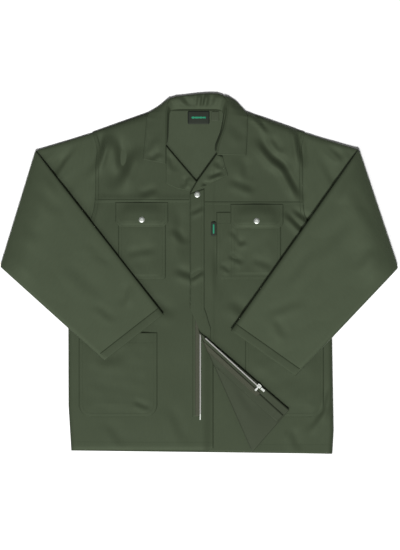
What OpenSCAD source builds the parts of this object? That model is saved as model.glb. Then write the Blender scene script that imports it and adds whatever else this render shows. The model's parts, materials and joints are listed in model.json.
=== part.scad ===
// Work jacket of cotton twill, laid flat on its back with both forearms folded in over the
// body and the lower front corner turned back, so that the open zip shows.
// +X is the wearer's left, +Y runs to the collar, +Z is up out of the surface it lies on.
// The origin is the middle of the outline, on that surface. Millimetres.

/* [Cloth and layers] */
// Thickness of one layer of cloth as it lies
cloth = 1; // [0.8:0.05:1]
// Air between the two layers of a sleeve, a pocket or the body
room = 5; // [4.8:0.1:6]
// Height that the zip takes between the right front and the left front over it
zip_room = 3; // [3:0.1:4]
// Air between layers that only lie on each other
rest_gap = 0.4; // [0.3:0.05:0.6]

/* [Body] */
// Half of the width across the chest
half_chest = 289; // [270:1:300]
// Half of the width across the hem
half_hem = 287; // [270:1:300]
// Height of the armpits above the middle of the outline
armpit_y = 37; // [30:1:45]
// Depth of the hem below the middle of the outline, at the right side
hem_y = 389; // [380:1:400]
// How much lower the hem lies at the left side
hem_drop = 7; // [0:1:10]
// Height of the seam between the front panels and the front yokes
yoke_y = 160; // [156:1:162]
// How much lower that seam lies on the left front
yoke_drop = 5; // [0:0.5:6]
// How far the right front reaches under the left front, past the middle
underlap_x = 29.7; // [20:0.1:34]

/* [Shoulders] */
// Half of the width between the shoulder points
half_shoulder = 233.5; // [225:0.5:240]
// Half of the width between the neck ends of the shoulder seams
half_neck = 109; // [104:0.5:112]
// Height of the shoulder points
shoulder_y = 311; // [305:1:315]
// Height of the neck ends of the shoulder seams
neck_point_y = 355; // [350:1:358]
// Height of the back neck seam
neck_seam_y = 361; // [358:1:364]
// Sideways place of the middle of the neck
neck_x = -3; // [-6:0.5:0]

/* [Sleeves] */
// Length of the right sleeve along its top edge
sleeve_len_r = 588; // [560:1:620]
// Length of the left sleeve along its top edge
sleeve_len_l = 610; // [580:1:640]
// Fall of the top edge below level, right and left
sleeve_slope = 18; // [15:0.5:21]
// Width of the right cuff as it lies
cuff_w_r = 165; // [150:1:175]
// Width of the left cuff as it lies
cuff_w_l = 174; // [155:1:180]
// Depth of the cuff hem
cuff_hem = 20; // [15:0.5:25]
// Distance from the shoulder to the elbow fold along the top edge, right
fold_at_r = 126.5; // [120:1:140]
// The same distance on the left
fold_at_l = 119; // [110:1:130]
// Lean of the right elbow fold from upright, outward on its way down
fold_lean_r = 17; // [14:0.2:20]
// Lean of the left elbow fold from upright
fold_lean_l = 18.4; // [15:0.2:21]

/* [Turned-back corner] */
// Sideways place of the top of the corner's fold, on the front edge
corner_top_x = -3; // [-6:0.5:0]
// Height of the top of the corner's fold
corner_top_y = -118.5; // [-125:0.5:-112]
// Sideways place where the fold meets the hem
corner_foot_x = 118.8; // [110:0.2:125]
// Height where the fold meets the hem
corner_foot_y = -394; // [-398:0.5:-390]
// Left edge of the fly above the fold
fly_x = -22; // [-24:0.5:-18]
// Width of the fly
fly_w = 32; // [28:0.5:34]
// Front edge of the corner at the hem, with the corner laid straight again
corner_tip_x = -10; // [-14:0.5:-6]

/* [Zip] */
// Height of the top of the zip
zip_top_y = 158; // [150:1:158]
// Height of the bottom of the zip, with the front laid straight
zip_foot_y = -308; // [-315:1:-300]
// Pitch of the teeth
tooth_pitch = 2.4; // [2:0.1:3]
// Reach of a tooth across the zip
tooth_reach = 2.8; // [2.4:0.1:2.8]
// Width of each tape beyond its teeth
tape_w = 11; // [9:0.5:13]
// Length of the slider
slider_len = 9; // [8:0.5:9]
// Length of the pull
pull_len = 13; // [10:0.5:16]

/* [Chest pockets] */
// Width of the right chest pocket
chest_w_r = 105; // [95:1:110]
// Left edge of the right chest pocket
chest_x_r = -180; // [-185:1:-175]
// Width of the left chest pocket with its pen slot
chest_w_l = 142; // [130:1:145]
// Left edge of the left chest pocket
chest_x_l = 36; // [34:1:40]
// Width of the pen slot
pen_w = 34; // [28:1:38]
// Height of both chest pocket mouths
chest_top_y = 135.5; // [130:0.5:137]
// Depth of the chest pockets
chest_d = 149; // [140:1:155]

/* [Flaps] */
// Width of the flaps
flap_w = 116; // [112:1:118]
// Depth of the flaps
flap_d = 52; // [45:1:56]
// Left edge of the right flap
flap_x_r = -186; // [-190:1:-184]
// Left edge of the left flap
flap_x_l = 67; // [64:1:68]
// Height of the top edge of the right flap
flap_y_r = 155.4; // [150:0.2:156]
// Height of the top edge of the left flap
flap_y_l = 151.4; // [148:0.2:152]
// Size of the slanted corners at the bottom of a flap
flap_corner = 10; // [4:1:14]
// Air between a flap and the pocket under it
flap_lift = 1.2; // [1.2:0.1:2]

/* [Hip pockets] */
// Width of the hip pockets
hip_w = 173; // [160:1:176]
// Depth of the hip pockets
hip_d = 186; // [170:1:190]
// Height of the hip pocket mouths
hip_top_y = -129; // [-134:1:-125]
// Left edge of the right hip pocket
hip_x_r = -266.6; // [-272:0.2:-260]
// Left edge of the left hip pocket
hip_x_l = 99; // [97:0.5:103]
// Radius of the bottom corners of the hip pockets
hip_r = 28; // [20:1:32]

/* [Collar] */
// Thickness of a collar leaf or a lapel, both layers
leaf_t = 2; // [1.5:0.1:2.2]
// Sideways place of the right collar's roll line
roll_x_r = -74.5; // [-78:0.5:-72]
// Height of the low end of the right roll line
roll_low_r = 241.5; // [238:0.5:245]
// Height of the top end of both roll lines
roll_top = 380; // [376:0.5:384]
// Depth of the band behind the neck
stand_h = 32; // [28:0.5:34]

/* [Press studs and labels] */
// Radius of a press stud's cap
stud_r = 6.1; // [5.5:0.1:6.5]
// Width of the neck label
label_w = 48; // [40:1:50]
// Height of the neck label
label_h = 29; // [22:1:30]

/* [Hidden] */
$fn = 48;
olive = [0.27, 0.30, 0.23];
dark_olive = [0.22, 0.25, 0.19];
tape_brown = [0.17, 0.16, 0.14];
nickel = [0.78, 0.78, 0.76];
alloy = [0.70, 0.70, 0.68];
black = [0.04, 0.04, 0.04];
// Air that keeps two solids of one body apart
skin = 0.05;
// Half of the gap that is left open along a fold
fold_gap = 0.3;

// Undersides of the layers: right front, left front, and the pockets on each
z_right = cloth + room;
z_left = z_right + cloth + zip_room;
z_pocket_r = z_right + cloth + room;
z_pocket_l = z_left + cloth + room;

// Heights of the fold axes: a folded layer comes to lie rest_gap above the pocket below it
axis_z_r = (z_right + cloth + z_pocket_r + cloth + rest_gap) / 2;
axis_z_l = (z_left + cloth + z_pocket_l + cloth + rest_gap) / 2;
axis_z_corner = (z_left + z_pocket_l + 3 * cloth + rest_gap + 2 * skin) / 2;

// Outline points shared by neighbouring panels
hem_r = [-half_hem + 4, -hem_y];
hem_l = [half_hem + 4, -hem_y - hem_drop];
armpit_r = [-half_chest + 3, armpit_y];
armpit_l = [half_chest + 1, armpit_y];
notch_r = [neck_x - half_shoulder + 6.5, yoke_y];
notch_l = [neck_x + half_shoulder - 3.5, yoke_y - yoke_drop];
point_r = [neck_x - half_shoulder, shoulder_y];
point_l = [neck_x + half_shoulder, shoulder_y];
neck_r = [neck_x - half_neck, neck_point_y];
neck_l = [neck_x + half_neck, neck_point_y];
seam_r = [neck_x - half_neck + 36, neck_seam_y];
seam_l = [neck_x + half_neck - 48, neck_seam_y];
side_r = [armpit_r, [-half_chest - 0.5, -112], [-half_chest, -290], hem_r];
side_l = [armpit_l, [half_chest + 1, -112], [half_chest + 5, -344], hem_l];

// Roll line of the left collar and the neck edge of the left front
roll_low_l = [36, 262];
roll_top_l = [60.5, roll_top + 4];
lapel_low_l = [-7, 202];
front_top_l = [fly_x, 177];

// The turned-back corner's fold, and the same line's height at any x
corner_top = [corner_top_x, corner_top_y];
corner_foot = [corner_foot_x, corner_foot_y];
corner_dir = (corner_foot - corner_top) / norm(corner_foot - corner_top);
function fold_y(x) = corner_top.y + (x - corner_top.x) * corner_dir.y / corner_dir.x;

// Crossing of the line through p along d and the line through q along e
function meet(p, d, q, e) = p + d * cross(q - p, e) / cross(d, e);

// A sleeve, straight: shoulder point, side, length, cuff width, armpit, fold, lean, layer, axis
SHOULDER = 0;
SIDE = 1;
LEN = 2;
CUFF = 3;
ARMPIT = 4;
FOLD = 5;
LEAN = 6;
LAYER = 7;
AXIS_Z = 8;
NOTCH = 9;
sleeve_r = [point_r, -1, sleeve_len_r, cuff_w_r, armpit_r, fold_at_r, fold_lean_r, z_right, axis_z_r, notch_r];
sleeve_l = [point_l, 1, sleeve_len_l, cuff_w_l, armpit_l, fold_at_l, fold_lean_l, z_left, axis_z_l, notch_l];
function along(s) = [s[SIDE] * cos(sleeve_slope), -sin(sleeve_slope)];
function across(s) = [-s[SIDE] * sin(sleeve_slope), -cos(sleeve_slope)];
function top_at(s, d) = s[SHOULDER] + d * along(s);
function cuff_low(s) = top_at(s, s[LEN]) + s[CUFF] * across(s);
function under_dir(s) = cuff_low(s) - s[ARMPIT];
function under_at(s, p, d) = meet(p, d, s[ARMPIT], under_dir(s));
function fold_dir(s) = [s[SIDE] * sin(s[LEAN]), -cos(s[LEAN])];
function fold_top(s, gap) = top_at(s, s[FOLD] + gap);
function fold_foot(s, gap) = under_at(s, fold_top(s, gap), fold_dir(s));

// Zip rows, with the front laid straight: each side's teeth, tape and slider stand off this line
zip_x = 2.4;
row_gap = 0.2;
tape_z = z_left - 1.8;
tooth_z = tape_z - 0.4;
tooth_t = 1.4;
tape_t = 0.6;
slider_foot = zip_foot_y + 0.6;
slider_half = 4.4;
bridge_z = tooth_z - 2.2;

// One flat layer of cloth from an outline
module layer(points, z, thick = cloth) translate([0, 0, z]) linear_extrude(thick) polygon(points);

// A side wall: a strip along an open line of points, as thick as the cloth towards inset
module wall(line, inset, z, top) {
  inner = [for (i = [len(line) - 1:-1:0]) line[i] + inset];
  layer(concat(line, inner), z + skin, top - z - 2 * skin);
}

// Half a turn about a level line through p along d at height z: lays a piece folded over
module folded_over(p, d, z) {
  turn = atan2(d.y, d.x);
  translate([p.x, p.y, z]) rotate([0, 0, turn]) rotate([180, 0, 0]) rotate([0, 0, -turn])
    translate([-p.x, -p.y, -z]) children();
}

module sleeve_folded(s) folded_over(fold_top(s, 0), fold_dir(s), s[AXIS_Z]) children();

module corner_folded() folded_over(corner_top, corner_dir, axis_z_corner) children();

// ---- body ----

module back_panel() color(olive)
  layer(concat(side_r, [hem_l, side_l[2], side_l[1], armpit_l, notch_l, [0, yoke_y], notch_r]), 0);

module back_yoke() color(olive) {
  layer([notch_r, [0, yoke_y], notch_l, point_l, neck_l, seam_l, seam_r, neck_r, point_r], 0);
  wall([point_r, neck_r, [roll_x_r - 2, neck_r.y + 4]], [0.4, -1], cloth, z_right);
  wall([point_l, neck_l, [roll_top_l.x + 2, neck_l.y + 4]], [-0.4, -1], cloth, z_left);
}

module front_panel_right() color(olive) {
  layer(concat(side_r, [[underlap_x, -hem_y - 1], [underlap_x, yoke_y], notch_r]), z_right);
  wall(side_r, [1, 0], cloth, z_right);
}

module front_panel_left() color(olive) {
  gap = [fold_gap, 0];
  layer(
    [[fly_x, fold_y(fly_x)] + gap, corner_foot + gap, hem_l, side_l[2], side_l[1], armpit_l,
     notch_l, [fly_x, notch_l.y]], z_left);
  wall(side_l, [-1, 0], cloth, z_left);
}

module front_yoke_right() color(olive) {
  layer([notch_r, [roll_x_r, yoke_y], [roll_x_r, neck_r.y], neck_r, point_r], z_right);
  // the wedge below the neck opening ends on the lapel's fold
  layer([[roll_x_r + 2 * skin, yoke_y], [underlap_x, yoke_y], [roll_x_r + 2 * skin, 281.5]], z_right);
}

module front_yoke_left() color(olive) {
  // the armhole seam's place at the height where the neck edge bends
  armhole = meet(notch_l, point_l - notch_l, roll_low_l, [1, 0]);
  layer([[fly_x, notch_l.y], notch_l, armhole, roll_low_l, lapel_low_l, front_top_l], z_left);
  layer(
    [roll_low_l + [1, 2 * skin], armhole + [0, 2 * skin], point_l, neck_l,
     [roll_top_l.x - 4, neck_l.y]], z_left);
}

// The fly that hides the zip runs down the left front to the fold
module fly_placket() color(olive) {
  right = fly_x + fly_w;
  layer(
    [[fly_x, fold_y(fly_x)], [right, fold_y(right)], [right, front_top_l.y + 11],
     [fly_x, front_top_l.y - 2]], z_left + cloth + skin);
}

module lapel_right() color(olive)
  layer([[-71.6, 196.5], [-49.9, 186.5], [-22.4, 181.6], [-8.1, 202.7], [-71.6, 277.9]],
    z_right + cloth + rest_gap - 0.1, leaf_t);

module lapel_left() color(olive)
  layer([front_top_l + [1, 1], [9, 191], [61.6, 215.9], [56, 232.2], [49.1, 259], [34.4, 261],
    lapel_low_l], z_left + cloth + rest_gap - 0.1, leaf_t);

// ---- collar ----

// Outline of the band behind the neck
band = [[-71, neck_seam_y + 0.5], [54.6, neck_seam_y + 0.5], [54.6, 384], [46, neck_seam_y + stand_h],
        [36, neck_seam_y + stand_h + 1.5], [-18, neck_seam_y + stand_h - 1], [-63, 386], [-71, 378]];

// The stand: the band that faces the wearer's neck, and its two ends that run down the roll lines
module collar_stand() color(dark_olive) {
  roll_dir = (roll_low_l - roll_top_l) / norm(roll_low_l - roll_top_l);
  high = roll_top_l + 10 * roll_dir;
  low = roll_low_l - 8 * roll_dir;
  layer(band, 2 * cloth);
  wall([[roll_x_r + 0.4, 285], [roll_x_r + 0.4, 376]], [1, 0], cloth, z_right + cloth);
  wall([low, high], [-1, 0], cloth, z_left + cloth);
}

module collar_interlining() color(dark_olive) layer(band, cloth + skin, cloth - 2 * skin);

module collar_fall() color(olive) layer(band, 0);

module collar_leaf_right() color(olive)
  layer([[roll_x_r - 0.4, roll_low_r], [roll_x_r - 0.4, roll_top - 1], [-101.4, 361], [-112, 354],
    [-117.5, 343], [-125.4, 251], [-87, 240.8]], z_right + cloth + 1, leaf_t);

module collar_leaf_left() color(olive)
  layer([roll_low_l + [0.4, 0], [101.6, 261], [105.4, 343], [104, 351], [78, 372],
    roll_top_l + [0.4, 0]], z_left + cloth + 1, leaf_t);

// ---- sleeves ----

// The two layers and two edges of a stretch of sleeve between two lines across it
module sleeve_tube(s, top_a, top_b, foot_a, foot_b) {
  outline = [top_a, top_b, foot_b, foot_a];
  layer(outline, 0);
  layer(outline, s[LAYER]);
  wall([top_a, top_b], across(s), cloth, s[LAYER]);
  wall([foot_a, foot_b], [0, 1], cloth, s[LAYER]);
}

// From the armhole to the elbow fold
module sleeve_upper(s) {
  near = fold_top(s, -fold_gap);
  foot = fold_foot(s, -fold_gap);
  outline = [s[SHOULDER], near, foot, s[ARMPIT], s[NOTCH]];
  layer(outline, 0);
  layer(outline, s[LAYER]);
  wall([s[SHOULDER], near], across(s), cloth, s[LAYER]);
  wall([s[ARMPIT], foot], [0, 1], cloth, s[LAYER]);
}

// From the elbow fold to the cuff hem, folded in over the body
module forearm(s) {
  hem_top = top_at(s, s[LEN] - cuff_hem);
  hem_foot = under_at(s, hem_top, across(s));
  sleeve_folded(s)
    sleeve_tube(s, fold_top(s, fold_gap), hem_top, fold_foot(s, fold_gap), hem_foot);
}

// The hem is thicker than the cloth, towards the inside of the sleeve
module cuff_band(s) {
  thick = cloth + 0.2;
  inner_top = top_at(s, s[LEN] - cuff_hem + skin);
  inner_foot = under_at(s, inner_top, across(s));
  outer_top = top_at(s, s[LEN]);
  outline = [inner_top, outer_top, cuff_low(s), inner_foot];
  sleeve_folded(s) {
    layer(outline, 0, thick);
    layer(outline, s[LAYER] + cloth - thick, thick);
    wall([inner_top, outer_top], across(s), thick, s[LAYER] + cloth - thick);
    wall([inner_foot, cuff_low(s)], [0, 1], thick, s[LAYER] + cloth - thick);
  }
}

module sleeve_upper_right() color(olive) sleeve_upper(sleeve_r);
module sleeve_upper_left() color(olive) sleeve_upper(sleeve_l);
module forearm_right() color(olive) forearm(sleeve_r);
module forearm_left() color(olive) forearm(sleeve_l);
module cuff_hem_right() color(olive) cuff_band(sleeve_r);
module cuff_hem_left() color(olive) cuff_band(sleeve_l);

// ---- pockets ----

// A patch pocket: its face stands off the front on walls along the sides and the foot
module patch_pocket(x, top, w, d, r, z) {
  foot = top - d;
  chord = r * 0.3;
  translate([0, 0, z]) linear_extrude(cloth) {
    translate([x, foot + r]) square([w, d - r]);
    translate([x + r, foot]) square([w - 2 * r, r]);
    translate([x + r, foot + r]) circle(r);
    translate([x + w - r, foot + r]) circle(r);
  }
  low = z - room;
  wall([[x, top], [x, foot + r]], [1, 0], low, z);
  wall([[x + w, top], [x + w, foot + r]], [-1, 0], low, z);
  wall([[x + r, foot], [x + w - r, foot]], [0, 1], low, z);
  wall([[x + chord, foot + r - 1], [x + r - 1, foot + chord]], [0.7, 0.7], low, z);
  wall([[x + w - chord, foot + r - 1], [x + w - r + 1, foot + chord]], [-0.7, 0.7], low, z);
}

module chest_pocket_right() color(olive)
  patch_pocket(chest_x_r, chest_top_y, chest_w_r, chest_d, 8, z_pocket_r);

// The left chest pocket is parted by a line of stitching into a pen slot and the pocket
module chest_pocket_left() color(olive) {
  part_x = chest_x_l + pen_w;
  patch_pocket(chest_x_l, chest_top_y, chest_w_l, chest_d, 16, z_pocket_l);
  wall([[part_x, chest_top_y], [part_x, chest_top_y - chest_d + 2]], [1, 0], z_pocket_l - room, z_pocket_l);
}

module hip_pocket_right() color(olive) patch_pocket(hip_x_r, hip_top_y, hip_w, hip_d, hip_r, z_pocket_r);
module hip_pocket_left() color(olive) patch_pocket(hip_x_l, hip_top_y, hip_w, hip_d, hip_r, z_pocket_l);

// ---- pocket flaps: each hangs from a seam ridge and lies over a pocket's mouth ----

module flap(x, top, z) {
  foot = top - flap_d;
  layer([[x, top], [x, foot + flap_corner], [x + flap_corner, foot], [x + flap_w - flap_corner, foot],
    [x + flap_w, foot + flap_corner], [x + flap_w, top]], z);
}

module flap_base(x, top, z, below) layer([[x, top + 1.5], [x + flap_w, top + 1.5],
  [x + flap_w, top + 2.7], [x, top + 2.7]], below + skin, z - 0.8 - below - skin);

z_flap_r = z_pocket_r + cloth + flap_lift;
z_flap_l = z_pocket_l + cloth + flap_lift;
module flap_right() color(olive) flap(flap_x_r, flap_y_r, z_flap_r);
module flap_left() color(olive) flap(flap_x_l, flap_y_l, z_flap_l);
module flap_base_right() color(olive) flap_base(flap_x_r, flap_y_r, z_flap_r, z_right + cloth);
module flap_base_left() color(olive) flap_base(flap_x_l, flap_y_l, z_flap_l, z_left + cloth);

// ---- the turned-back corner of the left front, and what is sewn to it ----

module front_corner() color(olive) corner_folded()
  layer([corner_top + [-fold_gap, 0], [corner_tip_x, -hem_y - 1], corner_foot + [-fold_gap, 0]], z_left);

module fly_placket_lower() color(olive) corner_folded()
  layer([corner_top + [-fold_gap, 0], [corner_tip_x, -hem_y - 1], [corner_tip_x + fly_w - 5, -hem_y - 1],
    [corner_tip_x + fly_w - 5, fold_y(corner_tip_x + fly_w - 5) - 1]], z_left + cloth + skin);

// ---- zip, drawn with the front laid straight ----

// A strip between two x values, from a foot to the corner's fold or from the fold to a top
module strip_above(x0, x1, top, z, thick)
  layer([[x0, fold_y(x0) + fold_gap], [x1, fold_y(x1) + fold_gap], [x1, top], [x0, top]], z, thick);

module strip_below(x0, x1, foot, z, thick)
  layer([[x0, foot], [x1, foot], [x1, fold_y(x1) - fold_gap], [x0, fold_y(x0) - fold_gap]], z, thick);

tape_in = zip_x + row_gap + tooth_reach;
tape_out = tape_in + tape_w;
facing_in = zip_x + slider_half + 0.4;

module zip_facing_right() color(olive)
  layer([[-zip_x - 14, zip_foot_y - 12], [-2.2, zip_foot_y - 12], [-2.2, zip_top_y],
    [-zip_x - 14, zip_top_y]], z_right + cloth + skin, tape_z - z_right - cloth - 2 * skin);

module zip_facing_left() color(dark_olive)
  strip_above(facing_in, facing_in + 22, zip_top_y - 6, tape_z + tape_t + skin, 1.1);

module corner_facing() color(dark_olive) corner_folded()
  strip_below(facing_in, facing_in + 22, -hem_y + 1, tape_z + tape_t + skin, 1.1);

module zip_tape_right() color(tape_brown)
  layer([[zip_x - 12.8, zip_foot_y - 10], [-0.8, zip_foot_y - 10], [-0.8, zip_top_y],
    [zip_x - 12.8, zip_top_y]], tape_z, tape_t);

module zip_tape_left_upper() color(tape_brown)
  strip_above(tape_in + skin, tape_out, zip_top_y - 6, tape_z, tape_t);

module zip_tape_left_lower() color(tape_brown) corner_folded()
  strip_below(tape_in + skin, tape_out, zip_foot_y - 10, tape_z, tape_t);

// A row of teeth as one comb: a spine on the tape's edge with a tooth at every pitch
module tooth_row(x, dir, foot, top) {
  spine = 0.9;
  count = floor((top - foot) / tooth_pitch);
  tips = [for (i = [0:count - 1]) let (y = foot + i * tooth_pitch)
    each [[x + dir * spine, y], [x, y + 0.25], [x, y + 1.25], [x + dir * spine, y + 1.5]]];
  back = x + dir * tooth_reach;
  layer(concat(tips, [[back, foot + count * tooth_pitch - 0.9], [back, foot]]), tooth_z, tooth_t);
}

module zip_teeth_right() color(alloy)
  tooth_row(zip_x - row_gap, -1, zip_foot_y, zip_top_y);

module zip_teeth_left_upper() color(alloy)
  tooth_row(zip_x + row_gap, 1, fold_y(zip_x) + 2, zip_top_y - 6);

module zip_teeth_left_lower() color(alloy) corner_folded()
  tooth_row(zip_x + row_gap, 1, zip_foot_y + 0.4, fold_y(zip_x) - 12);

module zip_pin() color(nickel)
  layer([[-0.7, zip_foot_y - 13], [1.4, zip_foot_y - 13], [1.8, zip_foot_y - 0.4],
    [-0.6, zip_foot_y - 0.4]], tooth_z, tooth_t);

module zip_box() color(nickel) corner_folded()
  layer([[0.6, zip_foot_y - 11], [5.4, zip_foot_y - 11], [5.4, zip_foot_y - 1], [0.6, zip_foot_y - 1]],
    z_left - 2.6, 2.5);

module zip_top_stops() color(nickel) {
  layer([[-1.2, zip_top_y + 0.1], [1.8, zip_top_y + 0.1], [1.8, zip_top_y + 2.4], [-1.2, zip_top_y + 2.4]],
    tooth_z, tooth_t);
  layer([[3, zip_top_y - 5.8], [6, zip_top_y - 5.8], [6, zip_top_y - 3], [3, zip_top_y - 3]],
    tooth_z, tooth_t);
}

// Two plates over and under the teeth, joined by a post between the rows and a rail along each edge
module zip_slider() color(nickel) corner_folded() {
  lip = slider_half - 0.6;
  foot = slider_foot;
  top = foot + slider_len;
  plate = [[zip_x - slider_half + 1, foot], [zip_x + slider_half - 1, foot],
    [zip_x + slider_half, top - 2], [zip_x + slider_half - 1, top], [zip_x - slider_half + 1, top],
    [zip_x - slider_half, top - 2]];
  layer(plate, z_left - 0.65, 0.5);
  layer(plate, tooth_z - 0.95, 0.7);
  post = [[zip_x - 1.4, top - 3], [zip_x, top - 3], [zip_x, top - 0.2], [zip_x - 1.4, top - 0.2]];
  layer(post, tooth_z - 0.3, z_left - 0.6 - tooth_z + 0.3);
  translate([zip_x - slider_half, foot + 2, tooth_z - 0.3]) cube([0.6, slider_len - 4, 1.8]);
  // the bridge that the pull turns on, a round bar along the slider on two feet
  for (y = [foot + 1.4, top - 2.6]) translate([zip_x - 0.6, y, tooth_z - 2.7]) cube([1.2, 1.2, 1.9]);
  translate([zip_x, foot + 1.4, bridge_z]) rotate([-90, 0, 0]) cylinder(h = slider_len - 2.8, r = 0.5);
}

// The pull lies across the zip; its eye goes round the bridge's bar
module zip_pull() color(nickel) corner_folded() {
  mid = slider_foot + slider_len / 2;
  z = bridge_z;
  difference() {
    union() {
      translate([zip_x, mid - 1.3, z]) rotate([-90, 0, 0]) cylinder(h = 2.6, r = 0.95);
      translate([zip_x, mid - 1.3, z - 0.45]) cube([pull_len * 0.5, 2.6, 0.9]);
      translate([zip_x + pull_len * 0.5 - 0.1, mid - 2.1, z - 0.45]) cube([pull_len * 0.5, 4.2, 0.9]);
    }
    translate([zip_x, mid - 2, z]) rotate([-90, 0, 0]) cylinder(h = 4, r = 0.58);
  }
}

// ---- press studs ----

stud_neck = [-6, 173.5];
stud_r_at = [-128, 118.3];
stud_l_at = [124.3, 115.4];

module stud_cap(at, z) translate([at.x, at.y, z]) {
  cylinder(h = 0.8, r = stud_r);
  translate([0, 0, 0.8]) cylinder(h = 0.7, r1 = stud_r - 0.4, r2 = stud_r - 2.2, $fn = 64);
}

module stud_socket(at, z, h) translate([at.x, at.y, z]) difference() {
  cylinder(h = h, r = 5.4);
  translate([0, 0, -1]) cylinder(h = h + 2, r = 2.6);
}

module stud_post(at, z, h) translate([at.x, at.y, z]) {
  cylinder(h = 0.45, r = 5);
  cylinder(h = h, r = 2);
}

module neck_stud_cap() color(nickel) stud_cap(stud_neck, z_left + 2 * cloth + 2 * skin);
module neck_stud_socket() color(nickel) stud_socket(stud_neck, z_left - 1.35, 1.3);
module neck_stud_post() color(nickel) stud_post(stud_neck, z_right + cloth + skin, 2.2);
module chest_stud_cap_right() color(nickel) stud_cap(stud_r_at, z_flap_r + cloth + skin);
module chest_stud_cap_left() color(nickel) stud_cap(stud_l_at, z_flap_l + cloth + skin);
module chest_stud_socket_right() color(nickel) stud_socket(stud_r_at, z_flap_r - 0.6, 0.55);
module chest_stud_socket_left() color(nickel) stud_socket(stud_l_at, z_flap_l - 0.6, 0.55);
module chest_stud_post_right() color(nickel) stud_post(stud_r_at, z_pocket_r + cloth + skin, 1);
module chest_stud_post_left() color(nickel) stud_post(stud_l_at, z_pocket_l + cloth + skin, 1);

// ---- labels ----

module label(x, y, w, h, z) translate([x, y, z + skin]) cube([w, h, 0.5]);

module neck_label() color(black) label(-label_w / 2 + neck_x, neck_seam_y - 3 - label_h, label_w, label_h, cloth);
module size_tab() color(dark_olive) label(25, neck_seam_y - 25, 17, 21, cloth);
module side_label() color(black) label(24, 82.5, 11.5, 32, z_left + cloth);

back_panel();
back_yoke();
front_panel_right();
front_panel_left();
front_yoke_right();
front_yoke_left();
fly_placket();
lapel_right();
lapel_left();
collar_stand();
collar_fall();
collar_interlining();
collar_leaf_right();
collar_leaf_left();
sleeve_upper_right();
sleeve_upper_left();
forearm_right();
forearm_left();
cuff_hem_right();
cuff_hem_left();
chest_pocket_right();
chest_pocket_left();
flap_base_right();
flap_base_left();
flap_right();
flap_left();
hip_pocket_right();
hip_pocket_left();
front_corner();
fly_placket_lower();
zip_facing_right();
zip_facing_left();
corner_facing();
zip_tape_right();
zip_tape_left_upper();
zip_tape_left_lower();
zip_teeth_right();
zip_teeth_left_upper();
zip_teeth_left_lower();
zip_pin();
zip_box();
zip_top_stops();
zip_slider();
zip_pull();
neck_stud_cap();
neck_stud_socket();
neck_stud_post();
chest_stud_cap_right();
chest_stud_cap_left();
chest_stud_socket_right();
chest_stud_socket_left();
chest_stud_post_right();
chest_stud_post_left();
neck_label();
size_tab();
side_label();
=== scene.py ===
"""The looks of the work jacket: cloth, seams, stitches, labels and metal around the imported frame.

Lengths in the helpers are millimetres in the frame's own axes; meshes are made in metres.
"""

import json
import math

import bmesh
import bpy
import numpy as np
from mathutils import Matrix, Vector
from mathutils.bvhtree import BVHTree


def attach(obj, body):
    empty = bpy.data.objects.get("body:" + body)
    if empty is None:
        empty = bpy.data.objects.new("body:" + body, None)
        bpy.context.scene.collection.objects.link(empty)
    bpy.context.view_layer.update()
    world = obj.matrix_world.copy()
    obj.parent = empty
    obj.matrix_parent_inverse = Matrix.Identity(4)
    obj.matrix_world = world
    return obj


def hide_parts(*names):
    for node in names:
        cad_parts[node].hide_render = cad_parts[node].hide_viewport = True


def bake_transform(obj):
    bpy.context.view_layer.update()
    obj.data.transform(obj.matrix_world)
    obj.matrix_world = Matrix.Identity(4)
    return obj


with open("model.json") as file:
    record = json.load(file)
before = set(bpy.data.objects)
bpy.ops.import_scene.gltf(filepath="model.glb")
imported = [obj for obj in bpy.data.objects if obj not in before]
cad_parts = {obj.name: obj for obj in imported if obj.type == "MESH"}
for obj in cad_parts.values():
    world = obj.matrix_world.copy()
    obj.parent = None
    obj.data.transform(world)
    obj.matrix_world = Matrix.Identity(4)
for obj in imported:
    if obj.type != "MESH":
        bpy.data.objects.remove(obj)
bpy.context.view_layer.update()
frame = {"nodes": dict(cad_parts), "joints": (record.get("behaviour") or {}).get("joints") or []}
MM = 0.001


# ---- small maths ----

def step(x, a, b):
    t = np.clip((np.asarray(x, float) - a) / (b - a), 0, 1)
    return t * t * (3 - 2 * t)


def rounded(d, r):
    """0 at an edge, 1 at r inside it, along a quarter circle"""
    return np.sqrt(np.clip(1 - (1 - np.clip(d / r, 0, 1)) ** 2, 0, 1))


def waves(x, y, seed, parts):
    """Slow unevenness: for each (length, height) three waves in seeded directions"""
    rng = np.random.default_rng(seed)
    z = np.zeros_like(np.asarray(x, float))
    for length, height in parts:
        for _ in range(3):
            a, p, q = rng.uniform(0, math.pi), rng.uniform(0, 6.28), rng.uniform(0.8, 1.25)
            k = 2 * math.pi / (length * q)
            z = z + height / 3 * np.sin(k * (x * math.cos(a) + y * math.sin(a)) + p)
    return z


def crease(x, y, a, b, h, w, bow=0.0):
    """A soft fold from a to b, raised on its hem side and sunk on its collar side, fading at both ends"""
    dx, dy = b[0] - a[0], b[1] - a[1]
    h = -h if dx > 0 else h
    n = math.hypot(dx, dy)
    t = ((x - a[0]) * dx + (y - a[1]) * dy) / n**2
    d = ((y - a[1]) * dx - (x - a[0]) * dy) / n - bow * 4 * t * (1 - t)
    fade = step(t, -0.05, 0.35) * (1 - step(t, 0.65, 1.05))
    return 1.75 * h * fade * (np.exp(-((d - w * 0.7) / w) ** 2) - 0.8 * np.exp(-((d + w * 0.7) / w) ** 2))


def along_curve(points, t):
    """Point at t (0..1, by the listed shares) of a line given as (share, x, y)"""
    p = np.array(points, float)
    return np.interp(t, p[:, 0], p[:, 1]), np.interp(t, p[:, 0], p[:, 2])


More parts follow.
